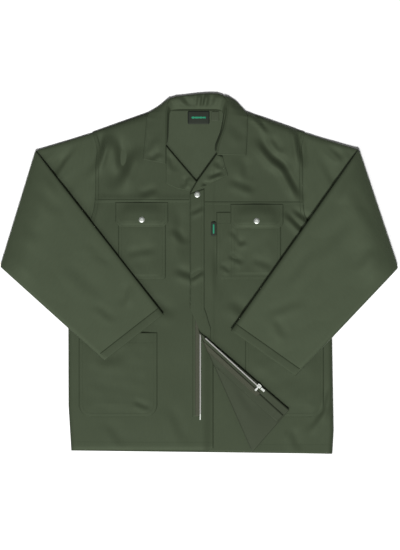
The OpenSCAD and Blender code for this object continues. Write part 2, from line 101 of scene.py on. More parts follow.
def bent(points, n=12):
    """A Catmull-Rom line through the points"""
    p = [np.array(q, float) for q in points]
    p = [2 * p[0] - p[1]] + p + [2 * p[-1] - p[-2]]
    out = []
    for i in range(1, len(p) - 2):
        for k in range(n):
            t = k / n
            out.append(0.5 * (2 * p[i] + (p[i + 1] - p[i - 1]) * t
                              + (2 * p[i - 1] - 5 * p[i] + 4 * p[i + 1] - p[i + 2]) * t * t
                              + (3 * p[i] - p[i - 1] - 3 * p[i + 1] + p[i + 2]) * t**3))
    return [tuple(q) for q in out] + [tuple(p[-2])]


def shares(points):
    """Adds each point's share of the line's length, for along_curve"""
    p = np.array(points, float)
    d = np.concatenate([[0], np.cumsum(np.hypot(*np.diff(p, axis=0).T))])
    return [(a / d[-1], q[0], q[1]) for a, q in zip(d, p)]


def seg_dist(x, y, a, b):
    """Distance from the line through a and b, positive on its left"""
    dx, dy = b[0] - a[0], b[1] - a[1]
    return ((y - a[1]) * dx - (x - a[0]) * dy) / math.hypot(dx, dy)


# ---- folds: half a turn about a level line, as the joints have it ----

class Fold:
    TURN = 7.0  # cloth taken up by going round the fold

    def __init__(self, joint, scale, drop, reach=26.0):
        j = next(q for q in frame["joints"] if q["name"] == joint)
        self.p = np.array(j["pos_m"][:2]) * 1000
        self.z = j["pos_m"][2] * 1000
        self.out = np.array([j["axis"][1], -j["axis"][0]])
        self.scale, self.drop, self.reach = scale, drop, reach

    def side(self, x, y):
        """How far past the fold a place of the straight cloth is"""
        return (x - self.p[0]) * self.out[0] + (y - self.p[1]) * self.out[1]

    def mirror(self, x, y):
        """A place past the fold, as it is seen once folded over"""
        s = self.side(x, y)
        return x - 2 * s * self.out[0], y - 2 * s * self.out[1]

    def lay(self, x, y, z):
        """Where a point of the straight cloth comes to lie"""
        s = self.side(x, y)
        rho = self.z - z
        a = self.TURN
        near = np.exp(-np.clip(np.maximum(-s, s - a), 0, None) / self.reach)
        mid = self.z - self.drop * near
        rho = rho * (1 - self.scale * near)
        phi = np.pi * np.clip(s / a, 0, 1)
        move = np.where(s > a, a - 2 * s, np.where(s > 0, rho * np.sin(phi) - s, 0))
        zz = np.where(s > 0, mid - rho * np.cos(phi), mid - rho)
        return x + self.out[0] * move, y + self.out[1] * move, zz


fold_r = Fold("sleeve_right_fold", 0.60, 2.3, 15.0)
fold_l = Fold("sleeve_left_fold", 0.66, 2.5, 15.0)
fold_c = Fold("front_corner_fold", 0.40, 1.3, 11.0)


# ---- materials ----

def group(name, ins, outs):
    g = bpy.data.node_groups.new(name, "ShaderNodeTree")
    for n, kind, value in ins:
        s = g.interface.new_socket(name=n, in_out="INPUT", socket_type=kind)
        s.default_value = value
    for n, kind in outs:
        g.interface.new_socket(name=n, in_out="OUTPUT", socket_type=kind)
    return g, g.nodes.new("NodeGroupInput"), g.nodes.new("NodeGroupOutput")


def twill_group():
    """Fine slanting ribs, slubs and slow changes of colour, on the flat cloth's own coordinates"""
    g, i, o = group("twill", [("Place", "NodeSocketVector", (0, 0, 0)),
                              ("Color", "NodeSocketColor", (0.06, 0.07, 0.05, 1)),
                              ("Rib", "NodeSocketFloat", 0.12), ("Mottle", "NodeSocketFloat", 0.10)],
                    [("Color", "NodeSocketColor"), ("Height", "NodeSocketFloat"),
                     ("Roughness", "NodeSocketFloat")])
    n, l = g.nodes, g.links
    turn = n.new("ShaderNodeMapping")
    turn.inputs["Rotation"].default_value = (0, 0, math.radians(58))
    l.new(i.outputs["Place"], turn.inputs["Vector"])
    wave = n.new("ShaderNodeTexWave")
    wave.inputs["Scale"].default_value = 330
    wave.inputs["Distortion"].default_value = 1.2
    wave.inputs["Detail"].default_value = 1
    wave.inputs["Detail Scale"].default_value = 3
    l.new(turn.outputs[0], wave.inputs["Vector"])
    fine = n.new("ShaderNodeTexNoise")
    fine.inputs["Scale"].default_value = 900
    fine.inputs["Detail"].default_value = 3
    l.new(i.outputs["Place"], fine.inputs["Vector"])
    stretch = n.new("ShaderNodeMapping")
    stretch.inputs["Scale"].default_value = (1, 0.12, 1)
    l.new(i.outputs["Place"], stretch.inputs["Vector"])
    slub = n.new("ShaderNodeTexNoise")
    slub.inputs["Scale"].default_value = 420
    slub.inputs["Detail"].default_value = 2
    l.new(stretch.outputs[0], slub.inputs["Vector"])
    slow = n.new("ShaderNodeTexNoise")
    slow.inputs["Scale"].default_value = 16
    slow.inputs["Detail"].default_value = 5
    slow.inputs["Roughness"].default_value = 0.55
    l.new(i.outputs["Place"], slow.inputs["Vector"])

    def math_node(op, a, b):
        m = n.new("ShaderNodeMath")
        m.operation = op
        for k, v in enumerate((a, b)):
            if isinstance(v, (int, float)):
                m.inputs[k].default_value = v
            else:
                l.new(v, m.inputs[k])
        return m.outputs[0]

    rib = math_node("MULTIPLY", math_node("SUBTRACT", wave.outputs["Fac"], 0.5), i.outputs["Rib"])
    mottle = math_node("MULTIPLY", math_node("SUBTRACT", slow.outputs["Fac"], 0.5), i.outputs["Mottle"])
    grain = math_node("MULTIPLY", math_node("SUBTRACT", slub.outputs["Fac"], 0.5), 0.22)
    speck = math_node("MULTIPLY", math_node("SUBTRACT", fine.outputs["Fac"], 0.5), 0.20)
    total = math_node("ADD", math_node("ADD", rib, mottle), math_node("ADD", grain, speck))
    gain = math_node("ADD", math_node("MULTIPLY", total, 1.0), 1.0)
    mul = n.new("ShaderNodeVectorMath")
    mul.operation = "SCALE"
    l.new(i.outputs["Color"], mul.inputs[0])
    l.new(gain, mul.inputs["Scale"])
    l.new(mul.outputs[0], o.inputs["Color"])
    l.new(math_node("ADD", wave.outputs["Fac"], math_node("MULTIPLY", fine.outputs["Fac"], 0.8)),
          o.inputs["Height"])
    l.new(math_node("ADD", 0.56, math_node("MULTIPLY", slow.outputs["Fac"], 0.12)), o.inputs["Roughness"])
    return g


def metal_group():
    """Fine scratches and slight dulling of small metal parts, on object coordinates"""
    g, i, o = group("worn_metal", [("Place", "NodeSocketVector", (0, 0, 0)),
                                   ("Color", "NodeSocketColor", (0.7, 0.7, 0.68, 1)),
                                   ("Roughness", "NodeSocketFloat", 0.25)],
                    [("Color", "NodeSocketColor"), ("Roughness", "NodeSocketFloat"),
                     ("Height", "NodeSocketFloat")])
    n, l = g.nodes, g.links
    noise = n.new("ShaderNodeTexNoise")
    noise.inputs["Scale"].default_value = 700
    noise.inputs["Detail"].default_value = 4
    l.new(i.outputs["Place"], noise.inputs["Vector"])
    a = n.new("ShaderNodeMath"); a.operation = "MULTIPLY_ADD"
    a.inputs[1].default_value = 0.25
    a.inputs[2].default_value = 0.87
    l.new(noise.outputs["Fac"], a.inputs[0])
    mul = n.new("ShaderNodeVectorMath"); mul.operation = "SCALE"
    l.new(i.outputs["Color"], mul.inputs[0])
    l.new(a.outputs[0], mul.inputs["Scale"])
    l.new(mul.outputs[0], o.inputs["Color"])
    b = n.new("ShaderNodeMath"); b.operation = "MULTIPLY_ADD"
    b.inputs[1].default_value = 0.2
    l.new(noise.outputs["Fac"], b.inputs[0])
    l.new(i.outputs["Roughness"], b.inputs[2])
    l.new(b.outputs[0], o.inputs["Roughness"])
    l.new(noise.outputs["Fac"], o.inputs["Height"])
    return g


TWILL = twill_group()
METAL = metal_group()


def material(name, node_group, color, uv=True, bump=0.25, depth=0.00012, sheen=0.0, metallic=0.0,
             **values):
    m = bpy.data.materials.new(name)
    m.use_nodes = True
    n, l = m.node_tree.nodes, m.node_tree.links
    p = n["Principled BSDF"]
    place = n.new("ShaderNodeUVMap" if uv else "ShaderNodeTexCoord")
    if uv:
        place.uv_map = "cloth"
    g = n.new("ShaderNodeGroup")
    g.node_tree = node_group
    l.new(place.outputs["UV" if uv else "Object"], g.inputs["Place"])
    g.inputs["Color"].default_value = (*color, 1)
    for k, v in values.items():
        g.inputs[k].default_value = v
    l.new(g.outputs["Color"], p.inputs["Base Color"])
    l.new(g.outputs["Roughness"], p.inputs["Roughness"])
    b = n.new("ShaderNodeBump")
    b.inputs["Strength"].default_value = bump
    b.inputs["Distance"].default_value = depth
    l.new(g.outputs["Height"], b.inputs["Height"])
    l.new(b.outputs["Normal"], p.inputs["Normal"])
    p.inputs["Metallic"].default_value = metallic
    if not metallic:
        p.inputs["Specular IOR Level"].default_value = 0.30
        p.inputs["Specular Tint"].default_value = (0.82, 1.0, 0.68, 1)
    if sheen:
        p.inputs["Sheen Weight"].default_value = sheen
        p.inputs["Sheen Roughness"].default_value = 0.45
        p.inputs["Sheen Tint"].default_value = (0.75, 0.85, 0.7, 1)
    return m


olive = material("olive_twill", TWILL, (0.0290, 0.0376, 0.0217), sheen=0.03)
# The next four tones are copies of the one olive twill, each made lighter to stand in for the light that
# piece gets: painted light on the yokes, flaps and lapels, the collar leaves, the sleeves, and the back where
# it shows in the neck
olive_yoke_painted_light = material("olive_twill_yoke_painted_light", TWILL, (0.0316, 0.0407, 0.0238), sheen=0.03)
olive_collar_painted_light = material("olive_twill_collar_painted_light", TWILL, (0.0316, 0.0406, 0.0240), sheen=0.03)
olive_sleeve_painted_light = material("olive_twill_sleeve_painted_light", TWILL, (0.0364, 0.0470, 0.0276), sheen=0.03)
olive_back_painted_light = material("olive_twill_back_painted_light", TWILL, (0.0375, 0.0480, 0.0288), sheen=0.03)
inside = material("olive_twill_inside", TWILL, (0.0262, 0.0312, 0.0200), sheen=0.03)
thread = material("olive_thread", TWILL, (0.034, 0.045, 0.026), bump=0.4, Rib=0.3)
tape_cloth = material("zip_tape", TWILL, (0.040, 0.040, 0.029), bump=0.6, Rib=0.4)
black_cloth = material("label_black", TWILL, (0.010, 0.011, 0.011), bump=0.1, Rib=0.1)
green_bar = material("label_green", TWILL, (0.012, 0.20, 0.11), bump=0.1, Rib=0.1)
tab_cloth = material("label_olive", TWILL, (0.036, 0.044, 0.028), bump=0.1, Rib=0.1)
nickel = material("bright_nickel", METAL, (0.42, 0.44, 0.41), uv=False, bump=0.05, metallic=1.0,
                  Roughness=0.34)
zinc = material("zip_metal", METAL, (0.27, 0.27, 0.255), uv=False, bump=0.1, metallic=1.0, Roughness=0.42)


# the third material, on the yokes, is a lighter copy of the twill: painted light
FRONTS = (olive, inside, olive_yoke_painted_light, inside)

# ---- cloth builder ----

PIECES = {}


def cloth(name, flat, nx, ny, place, cuts=(), thick=0.8, materials=(olive, inside), flip=False,
          weld=False, other=None):
    """A sheet from a grid: flat(s, t) gives its cut, place(x, y, s, t) where each point comes to lie"""
    bm = bmesh.new()
    bmesh.ops.create_grid(bm, x_segments=nx, y_segments=ny, size=0.5)
    co = np.array([v.co for v in bm.verts])
    s, t = co[:, 0] + 0.5, co[:, 1] + 0.5
    x, y = flat(s, t)
    layer_s = bm.verts.layers.float.new("s")
    layer_t = bm.verts.layers.float.new("t")
    for v, a, b, c, d in zip(bm.verts, x, y, s, t):
        v.co = (a, b, 0)
        v[layer_s], v[layer_t] = c, d
    for p, q in cuts:
        bmesh.ops.bisect_plane(bm, geom=bm.verts[:] + bm.edges[:] + bm.faces[:], dist=1e-3,
                               plane_co=(p[0], p[1], 0), plane_no=(q[0], q[1], 0))
    fx = np.array([v.co.x for v in bm.verts])
    fy = np.array([v.co.y for v in bm.verts])
    s = np.array([v[layer_s] for v in bm.verts])
    t = np.array([v[layer_t] for v in bm.verts])
    px, py, pz = place(fx, fy, s, t)
    if flip:
        bmesh.ops.reverse_faces(bm, faces=bm.faces[:])
    for v, a, b, c in zip(bm.verts, px, py, pz):
        v.co = (a * MM, b * MM, c * MM)
    uv = bm.loops.layers.uv.new("cloth")
    bm.verts.index_update()
    for f in bm.faces:
        f.smooth = True
        ks = [lp.vert.index for lp in f.loops]
        if other and other(sum(fx[k] for k in ks) / len(ks), sum(fy[k] for k in ks) / len(ks)):
            f.material_index = 2
        for lp, k in zip(f.loops, ks):
            lp[uv].uv = (fx[k] * MM, fy[k] * MM)
    if weld:
        bmesh.ops.remove_doubles(bm, verts=bm.verts[:], dist=2e-5)
    return publish(name, bm, materials, thick)


def publish(name, bm, materials, thick=0.0):
    me = bpy.data.meshes.new(name)
    bm.to_mesh(me)
    bm.free()
    for a in ("s", "t"):
        if a in me.attributes:
            me.attributes.remove(me.attributes[a])
    for m in materials:
        me.materials.append(m)
    ob = bpy.data.objects.new(name, me)
    bpy.context.scene.collection.objects.link(ob)
    if thick:
        mod = ob.modifiers.new("ply", "SOLIDIFY")
        mod.thickness = thick * MM
        mod.offset = -1
        mod.use_rim = True
        if len(materials) > 1:
            mod.material_offset = 1
    PIECES[name] = ob
    return ob


def tree(*names):
    """A search tree over the finished surfaces of some pieces"""
    out = []
    for n in names:
        ob = PIECES[n] if n in PIECES else frame["nodes"][n]
        me = ob.data
        out.append(BVHTree.FromPolygons([v.co[:] for v in me.vertices], [p.vertices[:] for p in me.polygons]))
    return out


def drop(trees, x, y, default=None):
    """Height of the highest surface under a point, in millimetres"""
    best = None
    for b in trees:
        hit = b.ray_cast(Vector((x * MM, y * MM, 0.06)), Vector((0, 0, -1)))
        if hit[0] is not None and (best is None or hit[0].z > best):
            best = hit[0].z
    return default if best is None else best / MM


def walk(line, pitch):
    """Evenly spaced points with directions along an open line"""
    p = np.array(line, float)
    seg = np.hypot(*np.diff(p, axis=0).T)
    d = np.concatenate([[0], np.cumsum(seg)])
    n = max(2, int(d[-1] / pitch) + 1)
    at = np.linspace(0, d[-1], n)
    x, y = np.interp(at, d, p[:, 0]), np.interp(at, d, p[:, 1])
    gx, gy = np.gradient(x), np.gradient(y)
    g = np.hypot(gx, gy)
    return x, y, gx / g, gy / g


def stitches(name, lines, on, lift=0.0, pitch=3.2):
    """Rows of lockstitch laid on the surfaces beneath"""
    trees = tree(*on)
    bm = bmesh.new()
    for line in lines:
        for x, y, dx, dy in zip(*walk(line, pitch)):
            z = drop(trees, x, y)
            if z is None:
                continue
            a = drop(trees, x - dx * 1.2, y - dy * 1.2, z)
            b = drop(trees, x + dx * 1.2, y + dy * 1.2, z)
            if abs(a - z) > 1.5 or abs(b - z) > 1.5:
                continue
            tilt = math.atan2(b - a, 2.4)
            m = (Matrix.Translation((x * MM, y * MM, (z + lift + 0.10) * MM))
                 @ Matrix.Rotation(math.atan2(dy, dx), 4, "Z") @ Matrix.Rotation(-tilt, 4, "Y")
                 @ Matrix.Diagonal((1.25 * MM, 0.34 * MM, 0.27 * MM, 1)))
            bmesh.ops.create_icosphere(bm, subdivisions=1, radius=1.0, matrix=m)
    uv = bm.loops.layers.uv.new("cloth")
    for f in bm.faces:
        f.smooth = True
        for lp in f.loops:
            lp[uv].uv = (lp.vert.co.x, lp.vert.co.y)
    return publish(name, bm, [thread])


def strip(name, line, width, height, on, mats=(olive,), pitch=3.0):
    """A doubled strip of cloth, such as a felled seam, lying on the surfaces beneath"""
    trees = tree(*on)
    x, y, dx, dy = walk(line, pitch)
    offs = np.array([-0.5, -0.5, -0.36, -0.12, 0.12, 0.36, 0.5, 0.5]) * width
    ups = np.array([-0.4, 0.25, 0.85, 1, 1, 0.85, 0.25, -0.4]) * height
    bm = bmesh.new()
    rows = []
    for k in range(len(x)):
        row = []
        for o, u in zip(offs, ups):
            px, py = x[k] - dy[k] * o, y[k] + dx[k] * o
            base = drop(trees, px, py)
            if base is None:
                base = drop(trees, x[k], y[k], 0.5)
            row.append(bm.verts.new((px * MM, py * MM, (base + u) * MM)))
        rows.append(row)
    for a, b in zip(rows, rows[1:]):
        for k in range(len(a) - 1):
            bm.faces.new((a[k], b[k], b[k + 1], a[k + 1]))
    bmesh.ops.recalc_face_normals(bm, faces=bm.faces[:])
    bm.normal_update()
    if sum(f.normal.z for f in bm.faces) < 0:
        bmesh.ops.reverse_faces(bm, faces=bm.faces[:])
    uv = bm.loops.layers.uv.new("cloth")
    for f in bm.faces:
        f.smooth = True
        for lp in f.loops:
            lp[uv].uv = (lp.vert.co.x, lp.vert.co.y)
    return publish(name, bm, list(mats))


# ---- the jacket's outline, from hem to neck ----

SIDE_R = [(-283, -389), (-289, -290), (-289.5, -112), (-286, 37)]
SIDE_L = [(291, -396), (294, -344), (290, -112), (290, 37)]
ARM_R = bent([(-286, 37), (-257, 78), (-238, 125), (-231, 165), (-230, 230), (-227.5, 275), (-236.5, 311)])
ARM_L = bent([(290, 37), (255, 74), (234, 118), (227, 158), (226, 240), (224, 279), (230.5, 311)])
FRONT_L = [(-10, -390), (-3, -118.5), (-22, -75.5), (-22, 177), (-7, 202), (36, 262), (48, 318),
           (56.5, 372.5)]
OUT_R = SIDE_R[:-1] + ARM_R
OUT_L = SIDE_L[:-1] + ARM_L


def edge_x(points, y):
    p = np.array(points, float)
    return np.interp(y, p[:, 1], p[:, 0])


def shoulder_d(x, y, side):
    """Distance inside the shoulder line"""
    if side < 0:
        return -seg_dist(x, y, (-236.5, 311), (-74.5, 368.3))
    return seg_dist(x, y, (230.5, 311), (56.5, 372.5))


def right_front_z(x, y):
    """Top of the right front and its yoke"""
    base = 6.9 + waves(x, y, 3, [(150, 0.5), (70, 0.22)])
    z = base + crease(x, y, (-206, 314), (-250, 206), 4.2, 11, 6)
    z = z + crease(x, y, (-140, 284), (-186, 180), 3.2, 17)
    z = z + crease(x, y, (-224, 180), (-262, 72), 1.8, 12) + crease(x, y, (-60, 8), (10, -20), 1.5, 10)
    z = z + crease(x, y, (-56, 150), (-42, 30), 1.2, 14) + crease(x, y, (-136, 168), (-90, 184), 1.1, 9)
    z = z + crease(x, y, (-130, -60), (-50, -98), 0.8, 15) + crease(x, y, (-250, -60), (-180, -112), 0.8, 15)
    z = z + crease(x, y, (-70, -290), (-36, -380), 0.7, 14)
    z = z + crease(x, y, (-210, -325), (-170, -385), 0.6, 13)
    z = z + crease(x, y, (-186, 306), (-172, 214), 2.2, 12) + crease(x, y, (-66, 100), (-26, 62), 1.0, 9)
    z = z + 0.8 * np.exp(-((y - 165) / 6.0) ** 2) * step(x, -240, -225)
    z = z + 3.4 * np.exp(-((x + 128) / 66) ** 2 - ((y - 112) / 60) ** 2)
    # the folds die out towards the armhole and the side seam
    z = base + (z - base) * (0.3 + 0.7 * step(x - edge_x(OUT_R, y), 0, 22)) - 1.4 * step(-x, 190, 285)
    d = np.where(y < 37, x - edge_x(SIDE_R, y), 60)
    d = np.minimum(d, shoulder_d(x, y, -1) * 0.8)
    z = 2.0 + (z - 2.0) * rounded(d + 0.4, 11.0)
    z = z - 5.1 * step(x, 3, 29.7) * (1 - step(y, -160, -110))
    # the hem settles to the table over its last few millimetres
    z = z - 2.2 * np.exp(-((y + 389.5) / 5.0) ** 2)
    return z


def left_front_z(x, y):
    """Top of the left front and its yoke, laid straight"""
    z = 11.2 - 0.9 * step(x, 27, 34) - 1.6 * step(x, 150, 285)
    z = z + waves(x, y, 8, [(150, 0.5), (70, 0.22)]) * step(x, -10, 25)
    z = z + 3.4 * np.exp(-((x - 124) / 66) ** 2 - ((y - 108) / 60) ** 2)
    z = z + crease(x, y, (104, 358), (150, 308), 2.5, 5.5, 2)
    z = z + crease(x, y, (122, 302), (192, 224), 3.5, 11, -6)
    z = z + crease(x, y, (170, 256), (222, 160), 3.2, 10) + crease(x, y, (206, 334), (224, 232), 3.2, 9)
    z = z + crease(x, y, (184, 136), (238, 80), 2.2, 8) + crease(x, y, (196, 142), (262, 96), 2.0, 8)
    z = z + crease(x, y, (90, 256), (100, 192), 1.3, 13) + crease(x, y, (60, 205), (124, 178), 1.3, 10)
    z = z + crease(x, y, (278, -290), (236, -352), 1.0, 9) + crease(x, y, (288, -240), (262, -330), 1.0, 8)
    z = z + crease(x, y, (196, -340), (214, -392), 0.7, 11) + crease(x, y, (150, 300), (178, 262), 1.5, 9)
    z = z + crease(x, y, (30, 60), (36, -60), 0.9, 12) + crease(x, y, (60, -60), (120, -110), 1.2, 14)
    d = np.where(y < 37, edge_x(SIDE_L, y) - x, 60)
    d = np.minimum(d, shoulder_d(x, y, 1) * 0.8)
    z = 2.0 + (z - 2.0) * rounded(d + 0.4, 12.0)
    return z


def ruled(left, right):
    """A cut between two edges, given with their shares"""
    def flat(s, t):
        ax, ay = along_curve(left, t)
        bx, by = along_curve(right, t)
        return ax + (bx - ax) * s, ay + (by - ay) * s
    return flat


def by_height(points, y0, y1):
    """Shares by height, so that rows of both edges keep level"""
    return [((q[1] - y0) / (y1 - y0), q[0], q[1]) for q in points]


# Back: lies flat below everything, its yoke shows in the neck
left = by_height(OUT_R + [(-112, 352), (-77, 361.5)], -389, 361.5)
right = [((q[1] + 396) / 757.5, q[0], q[1]) for q in OUT_L + [(106, 352), (60, 361.5)]]


def back_z(x, y, s, t):
    z = 0.95 + 0.35 * step(y, 165, 175)
    z = z + np.abs(waves(x, y, 21, [(120, 0.5)])) * step(y, 170, 220)
    z = z + crease(x, y, (-10, 330), (-16, 250), 0.5, 16) * 0.6
    e = np.minimum(x - edge_x(OUT_R, y), edge_x(OUT_L, y) - x)
    return x, y, z + 1.2 * (1 - rounded(e + 0.3, 7)) * (1 - step(y, 20, 50))


# above y 165, where the back shows in the neck, it takes a lighter copy of the twill as painted light; below,
# the plain twill
cloth("back", ruled(left, right), 120, 160, back_z, materials=(olive_back_painted_light, olive, olive, olive),
      other=lambda x, y: y < 165)

# Right front with its yoke, cut away below the neck
left = by_height(OUT_R, -389, 311)
right = [(0, 29.7, -390), (0.78, 29.7, 157), (0.80, 25, 166), (0.962, -74.5, 281.5), (1, -74.5, 368.3)]
cloth("front_right", ruled(left, right), 92, 210, lambda x, y, s, t: (x, y, right_front_z(x, y)),
      materials=FRONTS, other=lambda x, y: y > 159.5)

# Left front with its yoke and the turned-back corner, one cloth
front_share = [(0, -10, -390), (0.385, -3, -118.5), (0.45, -22, -75.5), (0.80, -22, 177), (0.835, -7, 202),
               (0.92, 36, 262), (0.965, 48, 318), (1, 56.5, 372.5)]
right = [((q[1] + 396) / 707.0, q[0], q[1]) for q in OUT_L]
# rows of points across the cloth, closest where it goes round the corner's fold
corner_cuts = [(fold_c.p + fold_c.out * d, fold_c.out)
               for d in (-30, -20, -12, -6, -2, 0, 1, 2, 3, 4, 5, 6, 7, 9, 14)]


def corner_noise(x, y):
    s = np.clip(fold_c.side(x, y), 0, None)
    return (waves(x, y, 5, [(80, 0.5)]) + crease(x, y, (20, -180), (60, -350), 0.7, 14)) * step(s, 8, 40)


def left_front_place(x, y, s, t):
    z = left_front_z(x, y)
    past = fold_c.side(x, y)
    plain = 11.0 + corner_noise(x, y)
    z = z + (plain - z) * step(past, -25, 0)
    return fold_c.lay(x, y, z)


cloth("front_left", ruled(front_share, right), 96, 215, left_front_place, cuts=corner_cuts,
      materials=FRONTS, other=lambda x, y: y > 154.8)

# ---- sleeves: both plies in one tube, folded over at the elbow ----

def front_z(side):
    return right_front_z if side < 0 else left_front_z


SHOULDER = {-1: (-236.5, 311), 1: (230.5, 311)}
LENGTH = {-1: 588.0, 1: 610.0}
CUFF = {-1: 165.0, 1: 174.0}
FOLD_FOOT = {-1: (-435.1, 16.0), 1: (430.6, 12.9)}
FOLD_TOP = {-1: (-356.809, 271.909), 1: (343.676, 274.227)}
SLOPE = math.radians(18)
BEND_R, BEND_L = (8.6, 11.4), (12.5, 15.5)  # heights of each sleeve's bend: the upper arm is kept below the first, and blend() takes both but only bakes the sleeve in place


def cuff_ends(side):
    ax, ay = math.cos(SLOPE) * side, -math.sin(SLOPE)
    x, y = SHOULDER[side][0] + ax * LENGTH[side], SHOULDER[side][1] + ay * LENGTH[side]
    return (x, y), (x - side * math.sin(SLOPE) * CUFF[side], y - math.cos(SLOPE) * CUFF[side])


def sleeve(name, side, fold, arm, level, low, bend_z):
    """From the armhole (w 0 at the shoulder, 1 at the armpit) to the cuff"""
    arm_line = shares(arm[::-1])
    fold_line = [(0, *FOLD_TOP[side]), (1, *FOLD_FOOT[side])]
    cuff_line = [(0, *cuff_ends(side)[0]), (1, *cuff_ends(side)[1])]
    n_round = 168
    marks = np.concatenate([np.linspace(0, 0.19, 34), 0.19 + 0.062 * np.linspace(0.02, 1, 26),
                            np.linspace(0.2575, 1, 104)])

    def across(s):
        c = np.mod(s * 2, 2.0)
        w = np.where(c <= 1, c, 2 - c)
        return 0.62 * w + 0.38 * (0.5 - 0.5 * np.cos(np.pi * w)), c <= 1

    def flat(s, t):
        w, _ = across(s)
        v = np.interp(t, np.linspace(0, 1, len(marks)), marks)
        ax, ay = along_curve(arm_line, w)
        ax = ax - side * 6.0
        fx, fy = along_curve(fold_line, w)
        cx, cy = along_curve(cuff_line, w)
        k = np.clip(v / 0.22, 0, 1)
        m = np.clip((v - 0.22) / 0.78, 0, 1)
        return np.where(v < 0.22, ax + (fx - ax) * k, fx + (cx - fx) * m), \
            np.where(v < 0.22, ay + (fy - ay) * k, fy + (cy - fy) * m)

    def place(x, y, s, t):
        w, top = across(s)
        v = np.interp(t, np.linspace(0, 1, len(marks)), marks)
        width = np.where(v < 0.22, 285 - 18 * v / 0.22, 267 - (267 - CUFF[side]) * (v - 0.22) / 0.78)
        d = np.minimum(w, 1 - w) * width
        mid = (level + low) / 2
        half = (level - low) / 2 * rounded(d + 0.15, 11.0)
        z = np.where(top, mid + half, mid - half)
        puff = step(d, 4, 40)
        past = fold.side(x, y)
        root = step(-past, 4, 40) * puff
        arm_side = step(past, 6, 40) * puff
        n_top = waves(x, y, 31 + side, [(110, 0.7), (60, 0.25)])
        # the ply that ends on top of the folded forearm is the lower one of the straight sleeve
        n_low = waves(x, y, 41 + side, [(170, 0.9), (80, 0.35)])
        z = z + np.where(top, n_top * root, 0)
        z = z - np.where(top, 0, 1) * 3.0 * np.exp(-((past - 52) / 26) ** 2) * puff
        # folded over, the forearm's lower ply sags towards the chest
        sag = (1.4 + 0.45 * np.abs(n_top)) * step(past, 25, 90) * puff
        z = z + np.where(top, sag, -np.abs(n_low) * arm_side)
        mx, my = fold.mirror(x, y)
        if side < 0:
            soft = (crease(mx, my, (-420, 130), (-340, 60), 1.8, 17)
                    + crease(mx, my, (-366, 190), (-300, 120), 1.6, 16)
                    + crease(mx, my, (-160, -76), (-146, -20), 1.9, 10)
                    + crease(mx, my, (-300, 20), (-210, -60), 1.5, 18)
                    + crease(mx, my, (-250, 70), (-190, 10), 1.2, 14)
                    + crease(mx, my, (-230, -70), (-180, -110), 1.3, 10))
            root_fold = (crease(x, y, (-258, 300), (-312, 214), 2.4, 12)
                         + crease(x, y, (-318, 296), (-350, 250), 2.2, 8)
                         + crease(x, y, (-250, 226), (-300, 150), 1.9, 12)
                         + crease(x, y, (-286, 264), (-330, 190), 1.4, 10))
        else:
            soft = (crease(mx, my, (300, 200), (412, 60), 1.8, 16)
                    + crease(mx, my, (330, 120), (250, 20), 1.6, 19)
                    + crease(mx, my, (180, -150), (150, -96), 1.9, 11)
                    + crease(mx, my, (250, 60), (180, -40), 1.4, 15)
                    + crease(mx, my, (230, -60), (130, -100), 1.3, 12)
                    + crease(mx, my, (380, 60), (330, 0), 1.3, 13))
            root_fold = (crease(x, y, (262, 300), (316, 246), 2.4, 11)
                         + crease(x, y, (250, 262), (300, 176), 1.9, 12)
                         + crease(x, y, (318, 288), (334, 250), 2.0, 8)
                         + crease(x, y, (240, 196), (276, 130), 1.5, 11))
        z = z - np.where(top, 0, 0.4 * soft * arm_side)
        z = z + np.where(top, np.clip(root_fold, -4.0, 1.3) * root, 0)
        seam = front_z(side)(x, y) - 1.1 * (1 - step(v, 0.012, 0.035))
        # the upper arm stays below the height at which the forearm's half of the bend begins
        z = np.where(top, seam + (z - seam) * step(v, 0.04, 0.15), z)
        z = np.where(past < 0, np.minimum(z, bend_z[0] - 0.1), z)
        return fold.lay(x, y, z)

    # both plies take a lighter copy of the twill: painted light on the sleeves
    return cloth(name, flat, n_round, len(marks) - 1, place, thick=0.7, flip=side < 0, weld=True,
                 materials=(olive_sleeve_painted_light, inside))


sleeve("sleeve_right", -1, fold_r, ARM_R, 6.6, 0.5, BEND_R)
sleeve("sleeve_left", 1, fold_l, ARM_L, 10.2, 0.6, BEND_L)

# ---- chest and hip pockets ----


def rounded_box(x, y, x0, x1, y0, r):
    """Distance inside an upright box whose two lower corners are rounded; the top edge doesn't count"""
    cx = np.clip(x, x0 + r, x1 - r)
    dx, dy = np.abs(x - cx), np.clip(y0 + r - y, 0, None)
    corner = r - np.hypot(dx, dy)
    return np.where(y < y0 + r, corner, np.minimum(x - x0, x1 - x))


